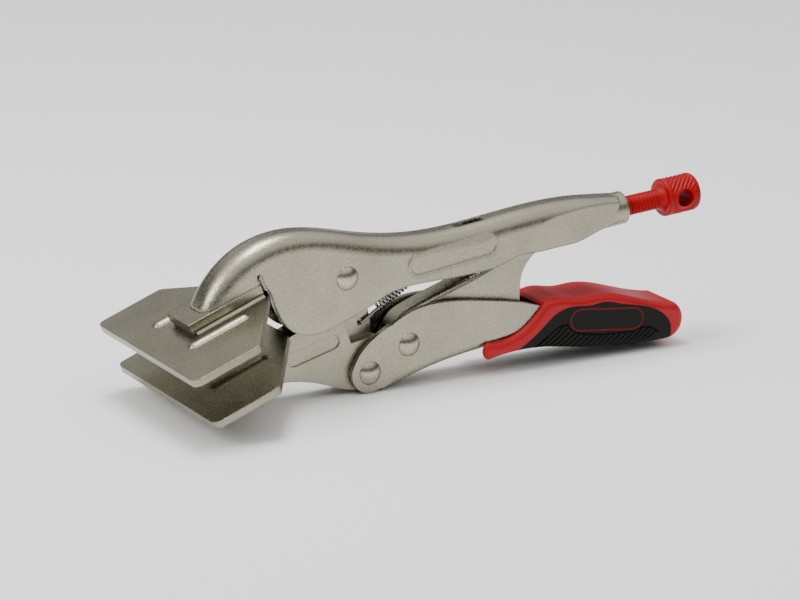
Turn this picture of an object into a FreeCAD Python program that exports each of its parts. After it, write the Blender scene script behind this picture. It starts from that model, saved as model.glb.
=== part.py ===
"""Hand seamer: locking pliers with two wide flat jaws for folding sheet metal.

Frame: +X runs from the jaws to the adjusting knob, +Z is up, Y is across.
The origin is at the bottom centre of the whole tool's box, in the tool's symmetry
plane. The tool is shown locked, with its jaw plates parallel and jaw_gap apart.
"""
import FreeCAD, Part
import math
import os

os.makedirs("parts", exist_ok=True)

# ---------------------------------------------------------------- driving dimensions
overall_length = 239.6      # jaw plate front edge to knob end
jaw_width = 80.0            # across both jaw plates
jaw_gap = 15.8              # between the plates, at right angles to them
jaw_tilt = 21.0             # degrees, plates rise towards the handle
plate_thickness = 2.8
plate_depth = 50.0
plate_side = 27.9           # length of the plates' parallel sides
plate_rear = 8.2            # half-width of the plates' rear end
handle_half = 8.5           # upper handle, half its outer width
handle_sheet = 2.8
channel_half = 8.9          # lower handle, half its outer width behind the ears
ear_half = 8.1              # and across its front ears
channel_sheet = 2.3
jaw_half = 5.5              # half the forged jaw's thickness
link_half = 5.4             # half the toggle link's width
link_sheet = 2.0
rivet_radius = 3.0
rivet_head = 4.6            # dome radius
rivet_dome = 2.0            # dome height
running_gap = 0.06          # radial clearance of every turning hole
screw_radius = 4.0
screw_slope = 4.9           # degrees, the screw rises towards its knob
knob_radius = 7.5
knob_length = 14.8
knob_hole = 3.4             # radius of the cross hole for a bar
grip_half = 11.6            # half the grip's width

# pivots, (x, z) in the symmetry plane
jaw_pivot = (-42.3, 45.4)
handle_pivot = (-31.8, 7.0)
link_pivot = (-15.5, 16.1)
link_end = (47.5, 49.5)
grip_pivot = (56.0, 16.2)
spring_hole = (-32.9, 25.4)
spring_anchor = (14.0, 56.0)
screw_at = (84.0, 55.4)     # a point on the screw's axis, at the neck's end face

# The outlines are drawn from a working origin; this moves them to the box's bottom centre.
jaw_front = 121.7           # from the working origin to the upper plate's front edge
ear_radius = 7.75           # the ears' round ends are the lowest part of the tool
origin_shift = (jaw_front - overall_length / 2.0, ear_radius - handle_pivot[1])


# ---------------------------------------------------------------- small helpers
def vec(point, y=0.0):
    return FreeCAD.Vector(point[0], y, point[1])


def moved(point, dx, dz):
    return (point[0] + dx, point[1] + dz)


def along(point, degrees, distance, side=0.0):
    """The point at a distance along a direction in the XZ plane, and aside from it."""
    a = math.radians(degrees)
    return (point[0] + distance * math.cos(a) - side * math.sin(a),
            point[1] + distance * math.sin(a) + side * math.cos(a))


def arc(centre, radius, start, end):
    """A round stretch of an outline, between two directions from its centre, in degrees."""
    return ("arc", along(centre, start, radius), along(centre, (start + end) / 2.0, radius),
            along(centre, end, radius))


def ends(stretch):
    points = [p for p in stretch if p != "arc"]
    return points[0], points[-1]


def edge_of(stretch, y=0.0):
    """A stretch's edge: an arc, a straight line through two points, or a smooth line."""
    if stretch[0] == "arc":
        return Part.Arc(*[vec(p, y) for p in stretch[1:]]).toShape()
    if len(stretch) == 2:
        return Part.LineSegment(vec(stretch[0], y), vec(stretch[1], y)).toShape()
    curve = Part.BSplineCurve()
    curve.interpolate([vec(p, y) for p in stretch])
    return curve.toShape()


def slab(stretches, low, high):
    """A prism across Y from stretches in order; straight edges close the gaps between them."""
    edges = []
    for i, stretch in enumerate(stretches):
        edges.append(edge_of(stretch, low))
        finish = ends(stretch)[1]
        following = ends(stretches[(i + 1) % len(stretches)])[0]
        if math.dist(finish, following) > 0.001:
            edges.append(edge_of([finish, following], low))
    face = Part.Face(Part.Wire(edges))
    return face.extrude(FreeCAD.Vector(0, high - low, 0))


def polygon_slab(points, low, high):
    """A prism across Y from a polygon's corners."""
    return slab([[p, points[(i + 1) % len(points)]] for i, p in enumerate(points)], low, high)


def shifted(points, distance):
    """The points of a curve moved sideways, to the right of its direction."""
    out = []
    for i, p in enumerate(points):
        before = points[max(i - 1, 0)]
        after = points[min(i + 1, len(points) - 1)]
        dx = after[0] - before[0]
        dz = after[1] - before[1]
        size = math.hypot(dx, dz)
        out.append((p[0] + distance * dz / size, p[1] - distance * dx / size))
    return out


def crosswise(point, radius, low, high):
    """A cylinder across Y."""
    return Part.makeCylinder(radius, high - low, vec(point, low), FreeCAD.Vector(0, 1, 0))


def tilted(shape, degrees, point):
    """Turn a shape about the Y axis through a point so that +X rises by degrees."""
    out = shape.copy()
    out.rotate(vec(point), FreeCAD.Vector(0, 1, 0), -degrees)
    return out


def box(x0, x1, y0, y1, z0, z1):
    corner = FreeCAD.Vector(x0, y0, z0)
    return Part.makeBox(x1 - x0, y1 - y0, z1 - z0, corner)


def edges_near(shape, test):
    return [e for e in shape.Edges if test(e)]


def rounded(shape, radius, test):
    return shape.makeFillet(radius, edges_near(shape, test))


def on_side(edge, half):
    """True for an edge that lies in one of the planes Y = half and Y = -half."""
    bounds = edge.BoundBox
    return bounds.YLength < 0.1 and abs(abs(bounds.YMin) - half) < 0.1


def save(name, shape):
    merged = shape.removeSplitter()
    shape = merged if merged.isValid() else shape
    shape.translate(vec(origin_shift))
    bounds = shape.BoundBox
    print("%-22s solids %d valid %s volume %9.1f  x %7.2f %7.2f  y %6.2f %6.2f  z %6.2f %6.2f"
          % (name, len(shape.Solids), shape.isValid(), shape.Volume, bounds.XMin, bounds.XMax,
             bounds.YMin, bounds.YMax, bounds.ZMin, bounds.ZMax))
    shape.exportStep("parts/" + name + ".step")


# ---------------------------------------------------------------- jaw plates
def in_plate(front, u, height):
    """A point u behind a plate's front edge and height above its upper face."""
    return along(front, jaw_tilt, u, height)


upper_front = (-jaw_front, 25.9)
lower_top = in_plate(upper_front, 1.5, -plate_thickness - jaw_gap)
rib_offset = 14.5           # ribs' distance from the middle of the plate
rib_width = 4.6
rib_height = 1.1
rib_start = 10.5
rib_end = 38.0
plate_corner = 3.0


def plate_blank():
    half = jaw_width / 2.0
    corners = [(0, -half), (plate_side, -half), (plate_depth, -plate_rear),
               (plate_depth, plate_rear), (plate_side, half), (0, half)]
    ring = [FreeCAD.Vector(x, y, -plate_thickness) for x, y in corners]
    face = Part.Face(Part.makePolygon(ring + [ring[0]]))
    solid = face.extrude(FreeCAD.Vector(0, 0, plate_thickness))
    upright = [e for e in solid.Edges
               if abs(e.BoundBox.ZLength - plate_thickness) < 0.01 and e.BoundBox.XMax < plate_side + 1]
    return solid.makeFillet(plate_corner, upright)


def rib(radius, y):
    """A round-ended rod along the plate that stands radius proud where it crosses it."""
    start = FreeCAD.Vector(rib_start + radius, y, 0)
    rod = Part.makeCylinder(radius, rib_end - rib_start - 2 * radius, start, FreeCAD.Vector(1, 0, 0))
    tips = [Part.makeSphere(radius, FreeCAD.Vector(x, y, 0))
            for x in (rib_start + radius, rib_end - radius)]
    return rod.fuse(tips)


def jaw_plate(front, raised_side):
    """A plate whose ribs stand out of its upper (+1) or lower (-1) face."""
    plate = plate_blank()
    proud_face = 0.0 if raised_side > 0 else -plate_thickness
    other_face = -plate_thickness - proud_face
    radius = (rib_width ** 2 / 4 + rib_height ** 2) / (2 * rib_height)
    for y in (-rib_offset, rib_offset):
        lens = rib(radius, y)
        lens.translate(FreeCAD.Vector(0, 0, proud_face + raised_side * (rib_height - radius)))
        plate = plate.fuse(lens.common(box(0, 60, -45, 45, *rib_window(proud_face, raised_side))))
        hollow = rib(radius, y)
        hollow.translate(FreeCAD.Vector(0, 0, other_face + raised_side * (rib_height - radius)))
        plate = plate.cut(hollow.common(box(0, 60, -45, 45, *rib_window(other_face, raised_side))))
    placed = tilted(plate, jaw_tilt, (0, 0))
    placed.translate(vec(front))
    return placed


def rib_window(face, side):
    """The band of heights that a rib takes up beyond a face of the plate."""
    reach = 2.0 * rib_height
    return (face, face + reach) if side > 0 else (face - reach, face)


# ---------------------------------------------------------------- fixed jaw
bar_start = 16.4            # behind the plate's front edge
bar_end = 48.0
bar_half = 8.8
bar_lower_layer = 1.8
bar_height = 5.0
strip_inset = 0.7           # the backing strip is this much narrower on each side
weld_leg = 1.3


def bar_outline(half, low, high, start, end):
    blank = box(start, end, -half, half, low, high)
    placed = tilted(blank, jaw_tilt, (0, 0))
    placed.translate(vec(upper_front))
    return placed


def fixed_jaw_bar():
    """A welded tongue: a thick bar on a slightly narrower backing strip."""
    strip = bar_outline(bar_half - strip_inset, 0.0, bar_lower_layer, bar_start + 0.8, bar_end)
    bar = bar_outline(bar_half, bar_lower_layer, bar_height, bar_start, bar_end)
    return strip.fuse(bar)


def weld_bead(length, leg):
    """A fillet weld along +X in the corner between a floor at Z = 0 and a wall at Y = 0."""
    corner = [FreeCAD.Vector(0, 0, 0), FreeCAD.Vector(0, -leg, 0), FreeCAD.Vector(0, 0, leg)]
    return Part.Face(Part.makePolygon(corner + [corner[0]])).extrude(FreeCAD.Vector(length, 0, 0))


def weld_pair(front, start, end, half, face, side):
    """Two beads along a tongue of the given half-width, on one face of a plate."""
    beads = []
    for sign in (-1, 1):
        bead = weld_bead(end - start, weld_leg)
        if side < 0:
            bead = bead.mirror(FreeCAD.Vector(), FreeCAD.Vector(0, 0, 1))
        if sign > 0:
            bead = bead.mirror(FreeCAD.Vector(), FreeCAD.Vector(0, 1, 0))
        bead.translate(FreeCAD.Vector(start, sign * half, face))
        bead = tilted(bead, jaw_tilt, (0, 0))
        bead.translate(vec(front))
        beads.append(bead)
    return Part.makeCompound(beads)


# ---------------------------------------------------------------- upper handle
nose_foot = in_plate(upper_front, bar_start + 7.0, bar_height)
bar_heel = in_plate(upper_front, bar_end - 0.5, bar_height)
nose_line = [nose_foot, (-96.9, 47.8), (-84.5, 59.2), (-65.5, 64.6), (-31.0, 59.3), (-4.4, 56.9),
             (31.0, 60.4), (67.2, 62.1)]
lobe_line = [(-30.5, 34.0), (-36.0, 31.8), (-42.5, 29.2), (-49.5, 26.6), (-56.5, 25.5),
             (-62.5, 26.6), (-67.6, 30.2), (-71.2, 35.9), (-73.4, 41.6)]
belly_line = [(75.0, 50.4), (67.0, 48.4), (61.0, 46.5), (52.0, 45.6), (40.0, 44.9), (31.5, 44.4),
              (25.0, 42.0), (17.0, 40.6), (0.0, 39.6), (-15.1, 39.0), (-25.0, 37.0), lobe_line[0]]
heel_line = [(-74.4, 44.2), (-78.2, 49.4)]
back_radius = 6.6
neck_radius = 6.5
neck_length = 12.7
taper_start = 42.0
hollow_taper_start = 58.0
taper_end = 74.0
taper = handle_half - neck_radius
relief_hole = (-78.9, 50.4)
relief_radius = 1.0
slot_length = 13.0
slot_slope = 1.5
slot_width = 4.6
bridge_half = 1.1
pill_length = 40.0
pill_height = 9.2
pill_slope = 7.8
pill_centre = (3.5, 48.4)
pill_line = 1.1             # width and height of the embossed line
pill_proud = 0.45
pill_root = 0.3             # how far the embossed line reaches into the wall
web_round = 2.2             # the hollow's corners under the rounded back: how far they come in
web_drop = 1.9              # and how far down they reach
thread_length = 22.7        # tapped length of the neck


def screw_point(distance, side=0.0):
    """A point on the screw's axis, a distance beyond the neck's end face."""
    return along(screw_at, screw_slope, distance, side)


def screw_cylinder(radius, start, end):
    a = math.radians(screw_slope)
    direction = FreeCAD.Vector(math.cos(a), 0, math.sin(a))
    return Part.makeCylinder(radius, end - start, vec(screw_point(start)), direction)


def pill(centre, slope, length, height, low, high):
    """A round-ended bar in a side wall, between two depths across Y."""
    r = height / 2.0
    a = along(centre, slope, -(length / 2.0 - r))
    b = along(centre, slope, length / 2.0 - r)
    return slab([arc(b, r, slope - 90, slope + 90), arc(a, r, slope + 90, slope + 270)], low, high)


def pill_ring(side):
    """The raised oval line on a side wall."""
    low = handle_half - pill_root if side > 0 else -handle_half - pill_proud
    high = low + pill_root + pill_proud
    outer = pill(pill_centre, pill_slope, pill_length, pill_height, low, high)
    inner_height = pill_height - 2 * pill_line
    inner = pill(pill_centre, pill_slope, pill_length - 2 * pill_line, inner_height, low, high)
    return outer.cut(inner)


def side_wedges(half, start):
    """The two wedges of air beside the tapering rear of the handle."""
    wedges = []
    for sign in (-1, 1):
        corners = [(start, half), (taper_end, half - taper), (95.0, half - taper),
                   (95.0, 12.0), (start, 12.0)]
        ring = [FreeCAD.Vector(x, sign * y, 0) for x, y in corners]
        face = Part.Face(Part.makePolygon(ring + [ring[0]]))
        wedges.append(face.extrude(FreeCAD.Vector(0, 0, 90)))
    return wedges


def handle_hollow(depth, half):
    """The space inside the channel, from a depth below its back downwards."""
    roof = shifted(nose_line, depth)
    space = slab([roof, [(69.5, 20.0), (-76.0, 20.0)], [(-76.0, 20.0), (-100.0, 30.0)]], -half, half)
    return space.cut(side_wedges(half, hollow_taper_start))


def upper_handle():
    """A pressed channel, open below, with a rounded back and a rolled, tapped neck."""
    rear_wall = [(80.0, 61.2), (76.5, 50.6)]
    foot = [bar_heel, nose_foot]
    outline = [nose_line, rear_wall, belly_line, lobe_line, heel_line, foot]
    outer = slab(outline, -handle_half, handle_half)
    outer = rounded(outer, back_radius, lambda e: on_side(e, handle_half) and e.BoundBox.ZMax > 60
                    and e.Length > 120)
    outer = outer.cut(side_wedges(handle_half, taper_start))
    body = outer.cut(handle_hollow(handle_sheet, handle_half - handle_sheet - web_round))
    body = body.cut(handle_hollow(handle_sheet + web_drop, handle_half - handle_sheet))
    body = body.fuse(screw_cylinder(neck_radius, -neck_length, 0.0))
    body = body.cut(screw_cylinder(screw_radius + running_gap, -thread_length, 5.0))
    body = body.fuse([pill_ring(-1), pill_ring(1)])
    for radius, centre in ((rivet_radius, jaw_pivot), (relief_radius, relief_hole)):
        body = body.cut(crosswise(centre, radius, -handle_half - 1, handle_half + 1))
    slot = tilted(box(0, slot_length, -slot_width / 2, slot_width / 2, -6, 6), slot_slope, (0, 0))
    slot.translate(vec((spring_anchor[0] - slot_length / 2, 58.5)))
    body = body.cut(slot)
    return body.fuse(slot_bridge())


def slot_bridge():
    """The strip of the back pressed down between the slot's ends, for the spring's hook."""
    strip = box(-0.4, slot_length + 0.4, -bridge_half, bridge_half, -3.0, -1.8)
    for start in (-0.4, slot_length - 1.0):
        strip = strip.fuse(box(start, start + 1.4, -bridge_half, bridge_half, -3.0, 0.4))
    strip = tilted(strip, slot_slope, (0, 0))
    strip.translate(vec((spring_anchor[0] - slot_length / 2, 57.0)))
    return strip


# ---------------------------------------------------------------- rivets
def rivet(point, half):
    """A round shank with a domed head on each side, at a distance half from the middle."""
    sphere_radius = (rivet_head ** 2 + rivet_dome ** 2) / (2 * rivet_dome)
    shank = crosswise(point, rivet_radius, -half, half)
    for sign in (-1, 1):
        ball = Part.makeSphere(sphere_radius, vec(point, sign * (half + rivet_dome - sphere_radius)))
        low, high = sorted((sign * half, sign * (half + rivet_dome + 1)))
        shank = shank.fuse(ball.common(crosswise(point, rivet_head + 1, low, high)))
    return shank


# ---------------------------------------------------------------- lower jaw
tongue_start = 14.0         # behind the lower plate's front edge
tongue_half = 7.0
boss_radius = 9.4           # round the jaw pivot
tail_radius = 7.0           # round the handle pivot
tab_half = 1.5
jaw_panel_centre = (-54.6, 18.2)
jaw_panel_length = 22.5
jaw_panel_height = 5.6
jaw_panel_slope = 15.5
jaw_panel_depth = 0.6
spring_hole_radius = 1.15
tongue_depth = 3.0
through = 15.0              # half-length of a tool that cuts right across a piece


def lower_jaw():
    """A forged arm: a tongue under the plate, a pivot boss, a thin spring tab and a tail."""
    tongue_tip = in_plate(lower_top, tongue_start, -plate_thickness)
    plate_heel = in_plate(lower_top, plate_depth, -plate_thickness)
    throat = [plate_heel, (-64.0, 25.4), (-58.5, 28.0), (-54.6, 34.5),
              (jaw_pivot[0] - boss_radius, jaw_pivot[1])]
    boss = arc(jaw_pivot, boss_radius, 180, 0)
    spine = [ends(boss)[1], (-32.2, 38.8), (-30.0, 31.6), (-28.3, 24.8), (-27.6, 17.6)]
    tail = arc(handle_pivot, tail_radius, 25, -112)
    sole = [ends(tail)[1], (-43.3, 1.9), (-50.0, 4.4), (-57.5, 6.5), (-67.2, 7.6)]
    outline = [[tongue_tip, plate_heel], throat, boss, spine, tail, sole, [(-98.2, 7.6), tongue_tip]]
    arm = slab(outline, -jaw_half, jaw_half)
    tongue = box(tongue_start, plate_depth - 1.0, -tongue_half, tongue_half,
                 -plate_thickness - tongue_depth, -plate_thickness)
    tongue = tilted(tongue, jaw_tilt, (0, 0))
    tongue.translate(vec(lower_top))
    arm = arm.fuse(tongue)
    for low, high in ((-jaw_half - 1, -tab_half), (tab_half, jaw_half + 1)):
        step = [(-43.6, 33.6), (-41.9, 28.4), (-38.8, 19.0), (-24.0, 21.2), (-24.0, 36.0)]
        arm = arm.cut(polygon_slab(step, low, high))
    arm = arm.cut(crosswise(spring_hole, spring_hole_radius, -through, through))
    arm = arm.cut(crosswise(jaw_pivot, rivet_radius + running_gap, -through, through))
    arm = arm.cut(crosswise(handle_pivot, rivet_radius + running_gap, -through, through))
    for low, high in ((-jaw_half - 1, -jaw_half + jaw_panel_depth),
                      (jaw_half - jaw_panel_depth, jaw_half + 1)):
        arm = arm.cut(pill(jaw_panel_centre, jaw_panel_slope, jaw_panel_length, jaw_panel_height,
                           low, high))
    return arm


# ---------------------------------------------------------------- lower handle
joggle_start = -24.6
joggle_end = -22.6
channel_end = 84.0
channel_fillet = 3.5
fork_end = joggle_end + 4.0  # the ears stand free in front of this
channel_bottom = [(joggle_end + 0.3, 0.3), (-18.1, 1.6), (-9.4, 4.2), (0.0, 6.5), (16.3, 9.2),
                  (34.0, 11.1), (58.0, 10.3), (channel_end, 8.0)]


def lower_handle():
    """A pressed channel, open above, whose two front ears straddle the jaw's tail."""
    ear = arc(handle_pivot, ear_radius, 150, 300)
    brow = [(42.0, 23.6), (33.7, 26.0), (19.7, 28.5), (2.0, 30.7), (-7.0, 30.5), (-15.5, 28.6),
            (-24.0, 24.2), (-32.6, 18.6), ends(ear)[0]]
    tail_top = [(channel_end, 14.0), (70.0, 17.4), (56.0, 20.4), (49.0, 21.8), brow[0]]
    outline = [channel_bottom, tail_top, brow, ear]
    outer = slab(outline, -channel_half, channel_half)
    outer = rounded(outer, channel_fillet,
                    lambda e: on_side(e, channel_half) and e.Length > 100 and e.BoundBox.ZMax < 13)
    for sign in (-1, 1):
        joggle = [(-50.0, ear_half), (joggle_start, ear_half), (joggle_end, channel_half),
                  (joggle_end, channel_half + 3), (-50.0, channel_half + 3)]
        ring = [FreeCAD.Vector(x, sign * y, -2) for x, y in joggle]
        face = Part.Face(Part.makePolygon(ring + [ring[0]]))
        outer = outer.cut(face.extrude(FreeCAD.Vector(0, 0, 60)))
    floor = shifted(channel_bottom, -channel_sheet)
    inner_half = channel_half - channel_sheet
    hollow = slab([floor, [(channel_end + 5, 9.0), (channel_end + 5, 60.0)],
                   [(-23.0, 60.0), (-23.0, 9.0)]], -inner_half, inner_half)
    outer = outer.cut(hollow)
    ear_inner = ear_half - channel_sheet
    fork = box(-60, fork_end, -ear_inner, ear_inner, -5, 60)
    outer = outer.cut(fork)
    for point, radius in ((handle_pivot, rivet_radius), (link_pivot, rivet_radius), (grip_pivot, pin_radius)):
        outer = outer.cut(crosswise(point, radius, -through, through))
    return outer


# ---------------------------------------------------------------- toggle link
link_boss = 6.3
link_nose = 5.0
link_boss_half = 6.35       # spacer pads reach out to the channel's walls
link_pad_radius = 5.0
link_fillet = 2.0


def toggle_link():
    """A pressed channel with its web forward: a pivot boss below, a nose for the screw above."""
    nose = arc(link_end, link_nose, 118, -80)
    foot = arc(link_pivot, link_boss, -80, -215)
    web = [ends(foot)[1], (-19.4, 24.0), (-9.5, 30.0), (9.3, 36.4), (19.8, 40.2), (32.0, 46.6),
           ends(nose)[0]]
    heel = [ends(nose)[1], (43.4, 44.6), (38.2, 40.4), (35.9, 36.0), (35.2, 30.0), (35.0, 21.0)]
    keel = [heel[-1], (14.0, 17.2), (0.0, 14.4), ends(foot)[0]]
    outer = slab([web, nose, heel, keel, foot], -link_half, link_half)
    outer = rounded(outer, link_fillet, lambda e: on_side(e, link_half) and e.Length > 55
                    and e.BoundBox.ZMax > 50 and e.BoundBox.XMin < -15)
    roof = shifted(web[1:], link_sheet)
    inner_half = link_half - link_sheet
    hollow = slab([roof, [(41.0, 40.0), (41.0, 5.0)], [(-30.0, 5.0), (-30.0, 20.0)]],
                  -inner_half, inner_half)
    body = outer.cut(hollow)
    for low, high in ((-link_boss_half, -inner_half), (inner_half, link_boss_half)):
        body = body.fuse(crosswise(link_pivot, link_pad_radius, low, high))
    return body.cut(crosswise(link_pivot, rivet_radius + running_gap, -through, through))


# ---------------------------------------------------------------- extension spring
wire_radius = 0.45
coil_radius = 2.9
coil_start = 9.5
coil_end = 47.0
coil_lid = 0.9              # the tube's closed ends
hook_side = -2.1
top_hook_side = 1.7


def spring_axis():
    dx = spring_anchor[0] - spring_hole[0]
    dz = spring_anchor[1] - spring_hole[1]
    return math.degrees(math.atan2(dz, dx)), math.hypot(dx, dz)


def wire_between(start, end):
    direction = end - start
    rod = Part.makeCylinder(wire_radius, direction.Length, start, direction)
    return rod.fuse([Part.makeSphere(wire_radius, p) for p in (start, end)])


def extension_spring():
    """The close-wound coil as one tube, with a straight hook at each end."""
    slope, length = spring_axis()
    start = along(spring_hole, slope, coil_start)
    end = along(spring_hole, slope, coil_end)
    axis = vec(end) - vec(start)
    coil = Part.makeCylinder(coil_radius, axis.Length, vec(start), axis)
    coil = coil.cut(Part.makeCylinder(coil_radius - 2 * wire_radius, axis.Length - 2 * coil_lid,
                                      vec(along(start, slope, coil_lid)), axis))
    low_hook = wire_between(vec(start, hook_side), vec(spring_hole, hook_side))
    low_hook = low_hook.fuse(wire_between(vec(spring_hole, hook_side), vec(spring_hole, -hook_side)))
    top = along(spring_hole, slope, length)
    high_hook = wire_between(vec(end, -top_hook_side), vec(top, -top_hook_side))
    high_hook = high_hook.fuse(wire_between(vec(top, -top_hook_side), vec(top, top_hook_side)))
    return coil.fuse([low_hook, high_hook])


# ---------------------------------------------------------------- adjusting screw
rod_start = -26.4           # from the neck's end face, inwards
rod_end = 18.7
tip_length = 3.0
tip_radius = 2.8
tip_dome = 1.6              # length of the tip's domed part
knob_chamfer = 1.6
knob_hole_at = 7.2          # the cross hole's centre, behind the knob's front face
collar_length = 1.6
collar_radius = 5.4


def screw_frame(shape):
    """Lay a shape made along +X on the screw's axis, with X = 0 at the neck's end face."""
    placed = tilted(shape, screw_slope, (0, 0))
    placed.translate(vec(screw_at))
    return placed


def turned(radius, start, end):
    return Part.makeCylinder(radius, end - start, FreeCAD.Vector(start, 0, 0), FreeCAD.Vector(1, 0, 0))


def screw_thrust_tip():
    """The rod's reduced, domed end, which bears on the link's nose."""
    tip_end = rod_start - tip_length
    shank = turned(tip_radius, tip_end + tip_dome, rod_start)
    dome = Part.makeSphere(tip_radius, FreeCAD.Vector(tip_end + tip_dome, 0, 0))
    cap = dome.common(box(tip_end, tip_end + tip_dome, -tip_radius, tip_radius, -tip_radius, tip_radius))
    return screw_frame(shank.fuse(cap))


def adjusting_screw():
    """The rod, with a cone where it meets the knob."""
    collar = Part.makeCone(screw_radius, collar_radius, collar_length,
                           FreeCAD.Vector(rod_end - collar_length, 0, 0), FreeCAD.Vector(1, 0, 0))
    return screw_frame(turned(screw_radius, rod_start, rod_end).fuse(collar))


def screw_knob():
    """A turned knob with a cross hole for a bar."""
    body = turned(knob_radius, rod_end, rod_end + knob_length)
    body = body.makeChamfer(knob_chamfer, [e for e in body.Edges if e.BoundBox.XLength < 0.01])
    hole = Part.makeCylinder(knob_hole, 30, FreeCAD.Vector(rod_end + knob_hole_at, -15, 0),
                             FreeCAD.Vector(0, 1, 0))
    return screw_frame(body.cut(hole))


# ---------------------------------------------------------------- release grip
pin_radius = 2.0
grip_fillet = 3.0
inlay_depth = 1.4
badge_length = 34.4
badge_height = 9.4
badge_centre = (71.6, 14.8)
badge_slope = -6.3
badge_depth = 0.5
badge_seat_gap = 0.02       # the badge lies this far below the grip's side
spring_turn_gap = 0.2       # between the release spring and the pin
spring_leg = 9.0

# the grip's side outline, from the thumb lobe up its front edge and round to the sole
grip_lobe = arc((20.6, 8.9), 4.0, 250, 118)
grip_heel = arc((100.7, 10.0), 7.7, 62, -90)
grip_roof = (43.8, 24.9)
grip_front = [ends(grip_lobe)[1], (26.0, 12.6), (32.5, 14.8), (38.8, 19.5), grip_roof]
grip_top = [grip_roof, (50.5, 26.0), (58.9, 24.7), (67.0, 25.0), (88.0, 20.5), ends(grip_heel)[0]]
grip_sole = [ends(grip_heel)[1], (79.5, 2.6), (61.0, 4.4), (42.5, 6.9), (31.0, 6.9), ends(grip_lobe)[0]]
inlay_line = [(28.5, 4.6), (31.7, 7.8), (36.6, 11.1), (41.0, 14.3), (45.4, 18.1), (49.9, 20.9),
              (56.3, 22.0), (65.0, 21.5), (70.0, 22.0), (77.5, 20.4), (89.3, 17.7), (97.5, 13.9),
              (101.6, 8.6), (101.9, 5.0), (101.2, 1.0)]


def grip_blank():
    outline = [grip_lobe, grip_front, grip_top, grip_heel, grip_sole]
    solid = slab(outline, -grip_half, grip_half)
    return rounded(solid, grip_fillet, lambda e: on_side(e, grip_half))


def grip_inlay_region():
    """Everything below the inlay's boundary line, right across the grip."""
    return slab([inlay_line, [(101.2, -5.0), (28.5, -5.0)]], -grip_half - 1, grip_half + 1)


def grip_core():
    """The part of the grip that lies deeper than the rubber's thickness."""
    lifted = [moved(p, 0, inlay_depth + 0.2) for p in grip_sole[1:-1]]
    half = grip_half - inlay_depth
    return slab([[(104.0, 4.0), lifted[0]], lifted, [(10.0, 40.0), (125.0, 40.0)]], -half, half)


def channel_room():
    """The space the steel channel and the link need inside the grip, over its whole swing."""
    half = channel_half + 0.25
    room = [(10.0, -5.0), (36.0, -5.0), (36.0, 9.4), (45.0, 9.9), (60.0, 9.5), (channel_end + 1.2, 7.0),
            (channel_end + 1.2, 16.8), (70.0, 19.2), (56.0, 21.4), (50.0, 22.9), (44.2, 23.5),
            (30.0, 23.5), (10.0, 30.0)]
    return polygon_slab(room, -half, half)


def badge(side, low_depth, high_depth):
    low, high = sorted((side * (grip_half - low_depth), side * (grip_half + high_depth)))
    return pill(badge_centre, badge_slope, badge_length, badge_height, low, high)


def grip_parts():
    blank = grip_blank()
    inlay = blank.common(grip_inlay_region()).cut(grip_core())
    shell = blank.cut(inlay).cut(channel_room())
    shell = shell.cut(crosswise(grip_pivot, pin_radius + running_gap, -grip_half - 1, grip_half + 1))
    badges = {}
    for name, side in (("near", -1), ("far", 1)):
        seat = badge(side, badge_depth, 2.0)
        inlay = inlay.cut(seat)
        badges[name] = badge(side, badge_depth, -badge_seat_gap)
    return shell, inlay, badges


def release_pin():
    return crosswise(grip_pivot, pin_radius, -grip_half + inlay_depth, grip_half - inlay_depth)


def release_spring():
    """A torsion spring round the pin, as one tube with two short legs."""
    coil = crosswise(grip_pivot, pin_radius + 1.1, -5.0, 5.0)
    coil = coil.cut(crosswise(grip_pivot, pin_radius + spring_turn_gap, -through, through))
    legs = []
    for y, slope in ((-4.5, 10.0), (4.5, 170.0)):
        start = along(grip_pivot, slope, pin_radius + 0.7)
        legs.append(wire_between(vec(start, y), vec(along(grip_pivot, slope, spring_leg), y)))
    return coil.fuse(legs)


if __name__ == "__main__":
    save("upper_jaw_plate", jaw_plate(upper_front, 1))
    save("fixed_jaw_bar", fixed_jaw_bar())
    save("fixed_jaw_welds", weld_pair(upper_front, bar_start + 2, bar_end, bar_half - strip_inset, 0.0, 1))
    save("upper_handle", upper_handle())
    save("jaw_pivot_rivet", rivet(jaw_pivot, handle_half))
    save("lower_jaw_plate", jaw_plate(lower_top, -1))
    save("lower_jaw", lower_jaw())
    save("lower_jaw_welds", weld_pair(lower_top, tongue_start + 2, plate_depth - 2, tongue_half,
                                      -plate_thickness, -1))
    save("handle_pivot_rivet", rivet(handle_pivot, ear_half))
    save("lower_handle", lower_handle())
    save("link_pivot_rivet", rivet(link_pivot, channel_half))
    save("toggle_link", toggle_link())
    save("extension_spring", extension_spring())
    save("screw_thrust_tip", screw_thrust_tip())
    save("adjusting_screw", adjusting_screw())
    save("screw_knob", screw_knob())
    grip_shell, grip_overmould, grip_badges = grip_parts()
    save("grip_shell", grip_shell)
    save("grip_overmould", grip_overmould)
    for badge_side, badge_shape in grip_badges.items():
        save("grip_badge_" + badge_side, badge_shape)
    save("release_pin", release_pin())
    save("release_spring", release_spring())
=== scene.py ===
"""The looks of the hand seamer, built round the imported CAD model.

The scene is in metres. Sizes of the drawn pieces are in millimetres until they are multiplied by MM.
"""
import math
import bmesh
import bpy
from mathutils import Matrix, Vector


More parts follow.
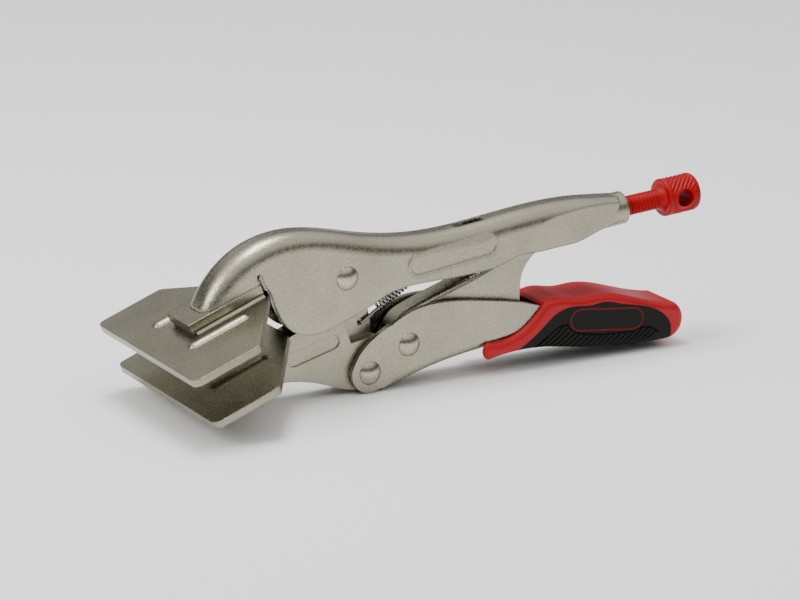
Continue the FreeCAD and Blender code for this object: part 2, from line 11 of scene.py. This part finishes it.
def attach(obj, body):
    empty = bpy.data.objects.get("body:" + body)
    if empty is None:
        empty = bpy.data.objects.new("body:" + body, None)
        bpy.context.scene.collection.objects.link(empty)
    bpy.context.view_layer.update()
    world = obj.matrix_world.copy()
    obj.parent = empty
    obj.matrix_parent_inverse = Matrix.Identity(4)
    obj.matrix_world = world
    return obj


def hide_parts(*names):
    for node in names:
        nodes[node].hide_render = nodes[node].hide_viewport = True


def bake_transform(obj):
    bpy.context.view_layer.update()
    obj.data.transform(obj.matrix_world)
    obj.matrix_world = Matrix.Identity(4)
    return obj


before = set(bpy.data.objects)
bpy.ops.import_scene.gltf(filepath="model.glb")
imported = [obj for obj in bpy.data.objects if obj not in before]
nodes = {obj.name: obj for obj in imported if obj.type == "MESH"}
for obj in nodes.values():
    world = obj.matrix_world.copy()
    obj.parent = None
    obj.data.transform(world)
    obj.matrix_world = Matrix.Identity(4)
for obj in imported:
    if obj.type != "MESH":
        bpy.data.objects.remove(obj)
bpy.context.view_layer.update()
MM = 0.001
FULL_TURN = 2.0 * math.pi
QUARTER_TURN = math.pi / 2.0
ACROSS = Vector((0.0, 1.0, 0.0))        # from the near side wall to the far one

# ---------------------------------------------------------------- camera and studio
CAMERA_PLACE = Vector((-0.64646, -1.08607, 0.40557))
CAMERA_RIGHT = Vector((0.86589, -0.5, 0.01511))
CAMERA_UP = Vector((0.1299, 0.25393, 0.95846))
LENS = 156.5
SENSOR_WIDTH = 36.0
NEAR_CLIP = 0.05
LIGHT_TARGET = Vector((0.0, 0.0, 0.03))
# Grey level of the dome by how steeply a direction points up: 0 is level and 1 is straight up.
DOME = [(0.0, 0.55), (0.09, 0.5), (0.16, 0.1), (0.32, 0.07), (0.52, 0.5), (0.7, 1.0)]
DOME_STRENGTH = 1.25
FLOOR_GREY = 0.97
FLOOR_ROUGHNESS = 0.9
FLOOR_HALF = 8.0
FLOOR_DROP = 0.0002                     # keeps the floor just clear of the lowest faces


def add_camera():
    """The camera at the photograph's angle."""
    data = bpy.data.cameras.new("product_camera")
    data.lens = LENS
    data.sensor_width = SENSOR_WIDTH
    data.clip_start = NEAR_CLIP
    camera = bpy.data.objects.new("product_camera", data)
    bpy.context.scene.collection.objects.link(camera)
    right = CAMERA_RIGHT.normalized()
    back = right.cross(CAMERA_UP).normalized()
    up = back.cross(right)
    turn = Matrix((right, up, back)).transposed().to_4x4()
    camera.matrix_world = Matrix.Translation(CAMERA_PLACE) @ turn
    bpy.context.scene.camera = camera


def area_light(name, place, size, power):
    """A soft rectangular light that faces the tool."""
    data = bpy.data.lights.new(name, "AREA")
    data.shape = "RECTANGLE"
    data.size, data.size_y = size
    data.energy = power
    light = bpy.data.objects.new(name, data)
    bpy.context.scene.collection.objects.link(light)
    light.location = place
    direction = LIGHT_TARGET - Vector(place)
    light.rotation_euler = direction.to_track_quat("-Z", "Y").to_euler()


def add_studio():
    """A pale floor under a soft dome, bright overhead, pale at the horizon and dim between."""
    world = bpy.data.worlds.new("studio")
    bpy.context.scene.world = world
    world.use_nodes = True
    n, l = world.node_tree.nodes, world.node_tree.links
    place = n.new("ShaderNodeTexCoord")
    split = n.new("ShaderNodeSeparateXYZ")
    l.new(place.outputs["Generated"], split.inputs["Vector"])
    stops = [(height, (grey, grey, grey)) for height, grey in DOME]
    l.new(ramp_node(n, l, split.outputs["Z"], stops), n["Background"].inputs["Color"])
    n["Background"].inputs["Strength"].default_value = DOME_STRENGTH
    area_light("overhead", place=(-0.1, 0.1, 0.9), size=(0.5, 0.3), power=6.0)
    area_light("left_window", place=(-1.2, 0.0, 0.8), size=(0.5, 0.6), power=8.0)
    white, _, _, shader = new_material("floor_white")
    shader.inputs["Base Color"].default_value = (FLOOR_GREY, FLOOR_GREY, FLOOR_GREY, 1.0)
    shader.inputs["Roughness"].default_value = FLOOR_ROUGHNESS
    half = FLOOR_HALF
    corners = [(-half, -half, 0), (half, -half, 0), (half, half, 0), (-half, half, 0)]
    floor = add_mesh("floor", corners, [(0, 1, 2, 3)], white, False)
    floor.location.z = -FLOOR_DROP


# ---------------------------------------------------------------- material helpers
NOISE_LOW, NOISE_HIGH = 0.3, 0.7        # the part of a noise's range that is used
NOISE_ROUGHNESS = 0.55
BEVEL_SAMPLES = 4
MIX_FACTOR, MIX_A, MIX_B = 0, 6, 7      # a Mix node's sockets by number, because their names repeat
MIX_RESULT = 2
GRAIN_DETAIL = 2.0
STEEL_DRIFT_SCALE = 40.0
STEEL_DRIFT_DETAIL = 4.0
STEEL_SMOOTHER, STEEL_ROUGHER = 0.05, 0.08      # how far the roughness strays each way
COARSE_SHARE = 0.4                      # scale of the coarse grain as a share of the fine grain's
COARSE_BUMP_SHARE = 0.7
COARSE_BUMP_HEIGHT = 0.00012
FINE_BUMP_HEIGHT = 0.00008
SPECK_STOPS = [(0.36, (0.8, 0.8, 0.8)), (0.64, (1.0, 1.0, 1.0))]
PLASTIC_DRIFT_SCALE = 60.0
PLASTIC_DRIFT_DETAIL = 3.0
PLASTIC_ROUGH_SPREAD = 0.05
SKIN_BUMP_HEIGHT = 0.00006


def new_material(name):
    """A material, its nodes, its links and its shader."""
    material = bpy.data.materials.new(name)
    material.use_nodes = True
    tree = material.node_tree
    return material, tree.nodes, tree.links, tree.nodes["Principled BSDF"]


def noise_node(n, l, coordinates, scale, detail):
    """Noise fixed to the piece it colours."""
    node = n.new("ShaderNodeTexNoise")
    node.inputs["Scale"].default_value = scale
    node.inputs["Detail"].default_value = detail
    node.inputs["Roughness"].default_value = NOISE_ROUGHNESS
    l.new(coordinates.outputs["Object"], node.inputs["Vector"])
    return node.outputs["Fac"]


def ramp_node(n, l, source, stops):
    """Colours blended along a value, from (place, colour) stops."""
    node = n.new("ShaderNodeValToRGB")
    l.new(source, node.inputs["Fac"])
    elements = node.color_ramp.elements
    while len(elements) < len(stops):
        elements.new(0.5)
    for element, (place, color) in zip(elements, stops):
        element.position = place
        element.color = (*color, 1.0)
    return node.outputs["Color"]


def range_node(n, l, source, low, high):
    """A noise stretched to run from low to high."""
    node = n.new("ShaderNodeMapRange")
    node.inputs["From Min"].default_value = NOISE_LOW
    node.inputs["From Max"].default_value = NOISE_HIGH
    node.inputs["To Min"].default_value = low
    node.inputs["To Max"].default_value = high
    l.new(source, node.inputs["Value"])
    return node.outputs["Result"]


def bump_node(n, l, source, strength, distance, normal):
    """Relief from a height, added to a normal."""
    node = n.new("ShaderNodeBump")
    node.inputs["Strength"].default_value = strength
    node.inputs["Distance"].default_value = distance
    l.new(source, node.inputs["Height"])
    l.new(normal, node.inputs["Normal"])
    return node.outputs["Normal"]


def bevel_node(n, radius):
    """A normal that rounds hard edges."""
    node = n.new("ShaderNodeBevel")
    node.samples = BEVEL_SAMPLES
    node.inputs["Radius"].default_value = radius
    return node.outputs["Normal"]


def multiply_colors(n, l, a, b):
    """One colour multiplied by another."""
    node = n.new("ShaderNodeMix")
    node.data_type = "RGBA"
    node.blend_type = "MULTIPLY"
    node.inputs[MIX_FACTOR].default_value = 1.0
    l.new(a, node.inputs[MIX_A])
    l.new(b, node.inputs[MIX_B])
    return node.outputs[MIX_RESULT]


def plated_steel(name, dark, light, rough, grain, grain_bump, round_edge=0.0004):
    """Plated steel with a fine blasted grain, a slow tint drift and softened edges."""
    material, n, l, shader = new_material(name)
    place = n.new("ShaderNodeTexCoord")
    fine = noise_node(n, l, place, grain, GRAIN_DETAIL)
    coarse = noise_node(n, l, place, grain * COARSE_SHARE, GRAIN_DETAIL)
    drift = noise_node(n, l, place, STEEL_DRIFT_SCALE, STEEL_DRIFT_DETAIL)
    tint = ramp_node(n, l, drift, [(NOISE_LOW, dark), (NOISE_HIGH, light)])
    speck = ramp_node(n, l, fine, SPECK_STOPS)
    l.new(multiply_colors(n, l, tint, speck), shader.inputs["Base Color"])
    shader.inputs["Metallic"].default_value = 1.0
    roughness = range_node(n, l, coarse, rough - STEEL_SMOOTHER, rough + STEEL_ROUGHER)
    l.new(roughness, shader.inputs["Roughness"])
    smooth = bevel_node(n, round_edge)
    low = bump_node(n, l, coarse, grain_bump * COARSE_BUMP_SHARE, COARSE_BUMP_HEIGHT, smooth)
    high = bump_node(n, l, fine, grain_bump, FINE_BUMP_HEIGHT, low)
    l.new(high, shader.inputs["Normal"])
    return material


def moulded_plastic(name, dark, light, rough, shine, skin_scale=1500.0, skin_bump=0.1,
                    round_edge=0.0007):
    """Plastic or rubber with a fine moulded skin, a slow tint drift and softened edges."""
    material, n, l, shader = new_material(name)
    place = n.new("ShaderNodeTexCoord")
    drift = noise_node(n, l, place, PLASTIC_DRIFT_SCALE, PLASTIC_DRIFT_DETAIL)
    skin = noise_node(n, l, place, skin_scale, GRAIN_DETAIL)
    tint = ramp_node(n, l, drift, [(NOISE_LOW, dark), (NOISE_HIGH, light)])
    l.new(tint, shader.inputs["Base Color"])
    spread = PLASTIC_ROUGH_SPREAD
    l.new(range_node(n, l, drift, rough - spread, rough + spread), shader.inputs["Roughness"])
    shader.inputs["Specular IOR Level"].default_value = shine
    smooth = bevel_node(n, round_edge)
    relief = bump_node(n, l, skin, skin_bump, SKIN_BUMP_HEIGHT, smooth)
    l.new(relief, shader.inputs["Normal"])
    return material


def dress(material, *names):
    """Give a material to CAD nodes."""
    for name in names:
        mesh = nodes[name].data
        mesh.materials.clear()
        mesh.materials.append(material)


# ---------------------------------------------------------------- mesh helpers
def add_mesh(name, points, faces, material, smooth=True):
    """A new mesh object in the scene."""
    mesh = bpy.data.meshes.new(name)
    mesh.from_pydata([tuple(p) for p in points], [], faces)
    mesh.materials.append(material)
    if smooth:
        mesh.polygons.foreach_set("use_smooth", [True] * len(mesh.polygons))
    mesh.update()
    item = bpy.data.objects.new(name, mesh)
    bpy.context.scene.collection.objects.link(item)
    return item


def tube_faces(rings, around):
    """Quads between consecutive rings of the same size, with one many-sided face at each end."""
    faces = []
    for ring in range(rings - 1):
        base = ring * around
        for step in range(around):
            other = (step + 1) % around
            faces.append((base + step, base + other, base + around + other, base + around + step))
    faces.append(tuple(reversed(range(around))))
    faces.append(tuple(range((rings - 1) * around, rings * around)))
    return faces


def sweep(path, radius, around):
    """A round wire along a list of points, with its radius in millimetres."""
    points = []
    normal = None
    for i, place in enumerate(path):
        ahead = (path[min(i + 1, len(path) - 1)] - path[max(i - 1, 0)]).normalized()
        if normal is None:
            normal = ahead.orthogonal().normalized()
        normal = (normal - ahead * normal.dot(ahead)).normalized()
        side = ahead.cross(normal)
        for step in range(around):
            a = FULL_TURN * step / around
            points.append(place + (normal * math.cos(a) + side * math.sin(a)) * (radius * MM))
    return points, tube_faces(len(path), around)


def recalculate(item):
    """Point every face outwards."""
    work = bmesh.new()
    work.from_mesh(item.data)
    bmesh.ops.recalc_face_normals(work, faces=work.faces)
    work.to_mesh(item.data)
    work.free()


def shade_by_angle(mesh, degrees):
    """Smooth shading, with hard edges where faces meet at more than an angle."""
    work = bmesh.new()
    work.from_mesh(mesh)
    limit = math.radians(degrees)
    for face in work.faces:
        face.smooth = True
    for edge in work.edges:
        if len(edge.link_faces) == 2:
            edge.smooth = edge.calc_face_angle(0.0) < limit
    work.to_mesh(mesh)
    work.free()


# ---------------------------------------------------------------- adjusting screw
# Places along the screw are measured from the neck's end face towards the knob.
SCREW_SLOPE = math.radians(4.9)
SCREW_FACE = Vector((85.9, 0.0, 56.15)) * MM    # on the screw's axis, at the neck's end face
SCREW_AXIS = Vector((math.cos(SCREW_SLOPE), 0.0, math.sin(SCREW_SLOPE)))
SCREW_UP = Vector((-math.sin(SCREW_SLOPE), 0.0, math.cos(SCREW_SLOPE)))
ROD_START = -26.4
ROD_END = 18.7
ROD_AROUND = 56
TIP_RADIUS = 3.2
TIP_CHAMFER = 0.3
THREAD_PITCH = 1.5
THREAD_RADIUS = 4.0
THREAD_DEPTH = 0.75
THREAD_START = ROD_START + 0.5
THREAD_END = ROD_END - 1.8
THREAD_SHAPE = 0.8                      # under 1 widens the groove and narrows the crest
ROWS_PER_TURN = 10
RUN_OUT = 0.8                           # length over which a thread or knurl fades away
ROD_FILLET = [(-1.6, 4.0), (-1.0, 4.3), (-0.5, 4.8), (-0.15, 5.3), (0.0, 5.4)]


def screw_point(along, radius, angle):
    """A point round the screw's axis, with along and radius in millimetres."""
    out = ACROSS * math.cos(angle) + SCREW_UP * math.sin(angle)
    return SCREW_FACE + SCREW_AXIS * (along * MM) + out * (radius * MM)


def lathe(profile, around, radius_at):
    """Rings round the screw's axis at each (along, radius), changed by radius_at."""
    points = []
    for along, radius in profile:
        for step in range(around):
            angle = FULL_TURN * step / around
            points.append(screw_point(along, radius_at(along, radius, angle), angle))
    return points, tube_faces(len(profile), around)


def fade(distance):
    """From 0 where a pattern ends to 1 where it is at full depth."""
    return min(1.0, max(0.0, distance / RUN_OUT))


def thread_radius(along, radius, angle):
    """A rounded helical thread that runs out before the knob."""
    if along > THREAD_END or along < THREAD_START:
        return radius
    phase = FULL_TURN * (along / THREAD_PITCH) - angle
    wave = 0.5 - 0.5 * math.cos(phase)
    return radius - THREAD_DEPTH * fade(THREAD_END - along) * wave ** THREAD_SHAPE


def build_screw(material):
    """The threaded rod, from its chamfered tip to the fillet under the knob."""
    step = THREAD_PITCH / ROWS_PER_TURN
    rows = int((THREAD_END - ROD_START) / step)
    profile = [(ROD_START, TIP_RADIUS)]
    profile += [(ROD_START + TIP_CHAMFER + step * i, THREAD_RADIUS) for i in range(rows)]
    profile += [(ROD_END + along, radius) for along, radius in ROD_FILLET]
    points, faces = lathe(profile, ROD_AROUND, thread_radius)
    screw = add_mesh("threaded_screw", points, faces, material)
    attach(screw, "screw")
    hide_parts("adjusting_screw")


# ---------------------------------------------------------------- knob
KNOB_RADIUS = 7.5
KNOB_LENGTH = 14.8
KNOB_REAR = ROD_END + KNOB_LENGTH
KNOB_AROUND = 176
KNOB_ROWS = 60
HARD_EDGE = 40.0                        # degrees
FRONT_ROUND, REAR_ROUND = 0.7, 1.7      # radius of the rounded corner at each end
FRONT_STEPS, REAR_STEPS = 6, 8          # steps round each rounded corner
FRONT_FACE, REAR_FACE = 1.6, 2.0        # how far the outline runs in across each end
KNURL_DEPTH = 0.42
KNURL_STARTS = 22
KNURL_LEAD = 44.0
KNURL_SKIN = 0.3                        # only rings within this of the full radius are knurled
KNURL_FRONT_GAP = 1.2
KNURL_REAR_GAP = 2.2
KNOB_HOLE = 3.4                         # radius of the cross hole
HOLE_AT = ROD_END + 7.2
HOLE_RIM = 0.9                          # plain band round the hole
HOLE_AROUND = 48
# The hole's radius by distance from the knob's middle, with its mouth flared.
HOLE_FLARE = [(6.2, KNOB_HOLE), (6.9, 3.45), (7.4, 3.75), (9.0, 4.6)]


def knurl_radius(along, radius, angle):
    """Slanting ridges that fade at the knob's ends and round its cross hole."""
    if radius < KNOB_RADIUS - KNURL_SKIN:
        return radius
    front_fade = fade(along - ROD_END - KNURL_FRONT_GAP)
    rear_fade = fade(KNOB_REAR - KNURL_REAR_GAP - along)
    across = abs(math.remainder(angle, math.pi)) * KNOB_RADIUS
    hole_fade = fade(math.hypot(across, along - HOLE_AT) - KNOB_HOLE - HOLE_RIM)
    phase = KNURL_STARTS * (angle + FULL_TURN * along / KNURL_LEAD)
    wave = 0.5 - 0.5 * math.cos(phase)
    return radius - KNURL_DEPTH * front_fade * rear_fade * hole_fade * wave


def knob_profile():
    """The knob's turned outline, with a quarter-round corner at each end."""
    front_ring = KNOB_RADIUS - FRONT_ROUND
    rear_ring = KNOB_RADIUS - REAR_ROUND
    profile = [(ROD_END, front_ring - FRONT_FACE), (ROD_END, front_ring)]
    for i in range(1, FRONT_STEPS + 1):
        a = QUARTER_TURN * i / FRONT_STEPS
        along = ROD_END + FRONT_ROUND * (1 - math.cos(a))
        profile.append((along, front_ring + FRONT_ROUND * math.sin(a)))
    straight = KNOB_REAR - ROD_END - FRONT_ROUND - REAR_ROUND
    for i in range(1, KNOB_ROWS):
        profile.append((ROD_END + FRONT_ROUND + straight * i / KNOB_ROWS, KNOB_RADIUS))
    for i in range(REAR_STEPS + 1):
        a = QUARTER_TURN * i / REAR_STEPS
        along = KNOB_REAR - REAR_ROUND + REAR_ROUND * math.sin(a)
        profile.append((along, rear_ring + REAR_ROUND * math.cos(a)))
    profile.append((KNOB_REAR, rear_ring - REAR_FACE))
    return profile


def hole_cutter(material):
    """A solid the shape of the knob's cross hole."""
    centre = SCREW_FACE + SCREW_AXIS * (HOLE_AT * MM)
    angles = [FULL_TURN * i / HOLE_AROUND for i in range(HOLE_AROUND)]
    ring = [SCREW_AXIS * math.cos(a) + SCREW_UP * math.sin(a) for a in angles]
    stations = [(-y, radius) for y, radius in reversed(HOLE_FLARE)] + HOLE_FLARE
    points = [centre + ACROSS * (y * MM) + out * (radius * MM)
              for y, radius in stations for out in ring]
    return add_mesh("hole_cutter", points, tube_faces(len(stations), HOLE_AROUND), material)


def build_knob(material):
    """The knurled knob with a tommy-bar hole through it."""
    points, faces = lathe(knob_profile(), KNOB_AROUND, knurl_radius)
    knob = add_mesh("knurled_knob", points, faces, material)
    cutter = hole_cutter(material)
    for item in (knob, cutter):
        item.data.validate()
        recalculate(item)
    cut = knob.modifiers.new("hole", "BOOLEAN")
    cut.operation = "DIFFERENCE"
    cut.solver = "EXACT"
    cut.object = cutter
    bpy.context.view_layer.update()
    evaluated = knob.evaluated_get(bpy.context.evaluated_depsgraph_get())
    result = bpy.data.meshes.new_from_object(evaluated)
    knob.modifiers.clear()
    knob.data = result
    shade_by_angle(result, HARD_EDGE)
    bpy.data.objects.remove(cutter)
    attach(knob, "screw")
    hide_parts("screw_knob")


# ---------------------------------------------------------------- extension spring
# Places along the spring are measured from its hole in the lower jaw towards its anchor.
SPRING_HOLE = Vector((-31.0, 0.0, 26.15)) * MM
SPRING_ANCHOR = Vector((15.9, 0.0, 56.75)) * MM
COIL_START = 9.5
COIL_END = 47.0
COIL_RADIUS = 2.3
COIL_PITCH = 1.6
STEPS_PER_COIL = 20
WIRE_RADIUS = 0.6
WIRE_AROUND = 10
# The hooks as (along, across). The upper hook's places along are from the anchor.
LOWER_HOOK = [(0.0, 2.3), (0.0, 0.6), (-0.1, -1.4), (0.4, -2.1), (1.6, -2.35), (4.0, -2.35),
              (6.5, -2.35), (8.6, -2.35)]
COIL_EXIT = (COIL_END + 1.5, -1.9)
UPPER_HOOK = [(-1.5, -1.7), (0.0, -1.2), (0.0, 1.2)]


def spring_path():
    """The wire's middle line: the lower hook, the close coils and the upper hook."""
    axis = (SPRING_ANCHOR - SPRING_HOLE).normalized()
    length = (SPRING_ANCHOR - SPRING_HOLE).length / MM
    up = axis.cross(ACROSS) * -1.0

    def place(along, y, rise=0.0):
        """A point by its distance along the spring, across it and up from it."""
        return SPRING_HOLE + axis * (along * MM) + ACROSS * (y * MM) + up * (rise * MM)

    path = [place(along, y) for along, y in LOWER_HOOK]
    turns = (COIL_END - COIL_START) / COIL_PITCH
    steps = int(turns * STEPS_PER_COIL)
    for i in range(steps + 1):
        angle = FULL_TURN * turns * i / steps
        along = COIL_START + (COIL_END - COIL_START) * i / steps
        path.append(place(along, -COIL_RADIUS * math.cos(angle), COIL_RADIUS * math.sin(angle)))
    path.append(place(*COIL_EXIT))
    path += [place(length + along, y) for along, y in UPPER_HOOK]
    return path


def build_spring(material):
    """The coiled wire, between the jaw and the upper handle."""
    points, faces = sweep(spring_path(), WIRE_RADIUS, WIRE_AROUND)
    spring = add_mesh("coiled_spring", points, faces, material)
    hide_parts("extension_spring")
    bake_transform(spring)


# ---------------------------------------------------------------- weld behind the fixed jaw
WELD_TOP = (-77.2, 51.7)
WELD_FOOT = (-74.6, 46.4)
WELD_OUT = 8.55
WELD_RADIUS = 0.75
WELD_STEPS = 40
WELD_AROUND = 12
WELD_LUMP = 0.16
WELD_WAVES = 9.0                        # half waves of lumps along the bead


def build_heel_weld(side, name, material):
    """A short lumpy bead that closes the corner behind the bar, on one side wall."""
    path = []
    for i in range(WELD_STEPS + 1):
        t = i / WELD_STEPS
        x = WELD_TOP[0] + (WELD_FOOT[0] - WELD_TOP[0]) * t
        z = WELD_TOP[1] + (WELD_FOOT[1] - WELD_TOP[1]) * t
        lump = WELD_LUMP * math.sin(WELD_WAVES * t * math.pi)
        path.append(Vector((x + lump, side * (WELD_OUT + 0.5 * lump), z)) * MM)
    points, faces = sweep(path, WELD_RADIUS, WELD_AROUND)
    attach(add_mesh(name, points, faces, material), "upper_handle")


# ---------------------------------------------------------------- grip details
GRIP_HALF = 11.6                        # half the grip's width
GRIP_ROUND = 3.0                        # radius along the grip's lower edges
SOLE = [(32.9, 7.65), (44.4, 7.65), (62.9, 5.15), (81.4, 3.35), (102.6, 3.05)]
RIB_TOPS = [(42.0, 9.4), (51.9, 15.7), (55.2, 15.9), (57.5, 13.2), (61.0, 11.4), (70.5, 9.7),
            (84.5, 8.9), (89.0, 9.9), (93.0, 9.9), (96.0, 8.6), (98.0, 6.6)]
RIB_COUNT = 20
RIB_FIRST = 38.5
RIB_LIMIT = 97.0                        # no rib runs past here
RIB_SPACING = 2.75
RIB_RADIUS = 0.3
RIB_AROUND = 8
RIB_SINK = 0.12                         # how far a rib's middle line lies inside the rubber
RIB_STEP = 0.3
RIB_STEPS = 60
RIB_LIFT = 0.7                          # height of a rib's foot above the sole
RIB_SLOPE = 0.62
RIB_CURVE = 0.012
RIB_GAP = 0.3                           # between a rib's end and the line above it
SHORTEST_RIB = 4                        # a rib needs more points than this
BORDER_STEPS = 110
CORNER_REACH = 0.7                      # rounds the corners of the line above the ribs
BADGE_CENTRE = (73.5, 15.55)
BADGE_SLOPE = math.radians(-6.3)
BADGE_HALF = 12.5                       # from the badge's centre to the centre of each round end
BADGE_RADIUS = 4.3
BADGE_STEPS = 24
# The raised outline's section, as (distance from its middle line, rise above the grip's side).
BADGE_SECTION = [(-0.5, -0.1), (-0.3, 0.12), (0.3, 0.12), (0.5, -0.1)]


def height_at(line, x):
    """The height of a broken line at x."""
    for (x0, z0), (x1, z1) in zip(line, line[1:]):
        if x0 <= x <= x1:
            return z0 + (z1 - z0) * (x - x0) / (x1 - x0)
    return line[0][1] if x < line[0][0] else line[-1][1]


def rounded_height_at(line, x):
    """The height of a broken line at x, with its corners rounded."""
    before = height_at(line, x - CORNER_REACH)
    after = height_at(line, x + CORNER_REACH)
    return (before + height_at(line, x) + after) / 3.0


def grip_side(x, z):
    """How far the grip's side stands out from the middle plane at (x, z), in millimetres."""
    above = z - height_at(SOLE, x)
    if above >= GRIP_ROUND:
        return GRIP_HALF
    lift = GRIP_ROUND - max(above, 0.0)
    return GRIP_HALF - GRIP_ROUND + math.sqrt(GRIP_ROUND ** 2 - lift ** 2)


def rib_line(foot):
    """One finger rib's (x, z) points, from its foot near the sole up to the line above the ribs."""
    line = []
    for k in range(RIB_STEPS):
        run = RIB_STEP * k
        x = foot + run
        z = height_at(SOLE, foot) + RIB_LIFT + RIB_SLOPE * run + RIB_CURVE * run * run
        if z > height_at(RIB_TOPS, x) - RIB_GAP or x > RIB_LIMIT:
            break
        line.append((x, z))
    return line


def build_ribs(side, name, material):
    """Slanting finger ribs across the lower half of the rubber, and the line that bounds them, in a
    material that paints groove shade.
    """
    lines = [rib_line(RIB_FIRST + RIB_SPACING * i) for i in range(RIB_COUNT)]
    lines = [line for line in lines if len(line) > SHORTEST_RIB]
    first, last = RIB_TOPS[0][0], RIB_TOPS[-1][0]
    xs = [first + (last - first) * i / BORDER_STEPS for i in range(BORDER_STEPS + 1)]
    lines.append([(x, rounded_height_at(RIB_TOPS, x)) for x in xs])
    points, faces = [], []
    for line in lines:
        path = [Vector((x, side * (grip_side(x, z) - RIB_SINK), z)) * MM for x, z in line]
        more, quads = sweep(path, RIB_RADIUS, RIB_AROUND)
        base = len(points)
        points.extend(more)
        faces.extend(tuple(base + i for i in face) for face in quads)
    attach(add_mesh(name, points, faces, material), "release_grip")


def badge_outline():
    """A long oval's (x, z) points before it is sloped: two half circles joined by straight runs."""
    outline = []
    for end, turn in ((BADGE_HALF, 0.0), (-BADGE_HALF, math.pi)):
        for i in range(BADGE_STEPS + 1):
            a = turn - QUARTER_TURN + math.pi * i / BADGE_STEPS
            outline.append((end + BADGE_RADIUS * math.cos(a), BADGE_RADIUS * math.sin(a)))
    return outline


def build_badge_ring(side, name, material):
    """A plain raised outline round the blank badge."""
    outline = badge_outline()
    cos, sin = math.cos(BADGE_SLOPE), math.sin(BADGE_SLOPE)
    points = []
    for x, z in outline:
        nearest = max(-BADGE_HALF, min(BADGE_HALF, x))
        out = Vector((x - nearest, z)).normalized()
        for shift, rise in BADGE_SECTION:
            u, v = x + out.x * shift, z + out.y * shift
            points.append(Vector((BADGE_CENTRE[0] + u * cos - v * sin, side * (GRIP_HALF + rise),
                                  BADGE_CENTRE[1] + u * sin + v * cos)) * MM)
    faces = []
    rows, corners = len(outline), len(BADGE_SECTION)
    for i in range(rows):
        j = (i + 1) % rows
        for k in range(corners):
            m = (k + 1) % corners
            faces.append((corners * i + k, corners * i + m, corners * j + m, corners * j + k))
    ring = add_mesh(name, points, faces, material, False)
    recalculate(ring)
    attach(ring, "release_grip")


# ---------------------------------------------------------------- the scene
# Each finish has a dark and a light colour, and drifts slowly from one to the other.
NICKEL_DARK = (0.335, 0.315, 0.24)
NICKEL_LIGHT = (0.41, 0.385, 0.30)

add_camera()
add_studio()
soft_nickel = plated_steel("soft_nickel", NICKEL_DARK, NICKEL_LIGHT, rough=0.27, grain=2300.0,
                           grain_bump=0.7, round_edge=0.0014)
nickel = plated_steel("pearl_nickel", NICKEL_DARK, NICKEL_LIGHT, rough=0.27, grain=2300.0,
                      grain_bump=0.7)
forged = plated_steel("forged_nickel", (0.32, 0.30, 0.23), (0.39, 0.365, 0.285), rough=0.32,
                      grain=2000.0, grain_bump=0.75)
jaw_nickel = plated_steel("jaw_nickel", (0.28, 0.26, 0.195), (0.365, 0.34, 0.26), rough=0.3,
                          grain=2800.0, grain_bump=0.16, round_edge=0.0007)
weld = plated_steel("weld_nickel", (0.36, 0.33, 0.25), (0.46, 0.43, 0.34), rough=0.32,
                    grain=900.0, grain_bump=0.6)
polished = plated_steel("polished_nickel", (0.43, 0.40, 0.32), (0.52, 0.49, 0.40), rough=0.24,
                        grain=1600.0, grain_bump=0.06)
wire = plated_steel("zinc_wire", (0.20, 0.20, 0.20), (0.42, 0.42, 0.42), rough=0.16,
                    grain=1200.0, grain_bump=0.06, round_edge=0.0001)
red_plastic = moulded_plastic("red_plastic", (0.36, 0.001, 0.005), (0.44, 0.0015, 0.008),
                              rough=0.42, shine=0.3)
red_screw = moulded_plastic("red_screw", (0.30, 0.001, 0.003), (0.36, 0.001, 0.004),
                            rough=0.40, shine=0.18, round_edge=0.00006)
badge_red = moulded_plastic("badge_red", (0.12, 0.003, 0.004), (0.16, 0.005, 0.006),
                            rough=0.5, shine=0.2)
rubber = moulded_plastic("black_rubber", (0.005, 0.006, 0.005), (0.009, 0.010, 0.008),
                         rough=0.6, shine=0.16, skin_scale=900.0, skin_bump=0.25)
# Painted groove shade: rubber darker and duller than the grip's, so the raised rib lines read as
# shaded grooves.
painted_groove_shade = moulded_plastic("rubber_painted_groove_shade", (0.001, 0.001, 0.001), (0.002, 0.002, 0.002),
                         rough=0.8, shine=0.04)
dress(soft_nickel, "upper_handle")
dress(nickel, "lower_handle", "toggle_link")
dress(forged, "lower_jaw")
dress(jaw_nickel, "upper_jaw_plate", "lower_jaw_plate", "fixed_jaw_bar")
dress(weld, "fixed_jaw_welds", "lower_jaw_welds")
dress(polished, "jaw_pivot_rivet", "handle_pivot_rivet", "link_pivot_rivet", "release_pin")
dress(wire, "extension_spring", "release_spring", "screw_thrust_tip")
dress(red_plastic, "grip_shell")
dress(red_screw, "adjusting_screw", "screw_knob")
dress(rubber, "grip_overmould", "grip_badge_near", "grip_badge_far")
build_screw(red_screw)
build_knob(red_screw)
build_spring(wire)
for side, label in ((-1, "near"), (1, "far")):
    build_heel_weld(side, "heel_weld_" + label, weld)
    build_ribs(side, "finger_ribs_" + label, painted_groove_shade)
    build_badge_ring(side, "badge_ring_" + label, badge_red)
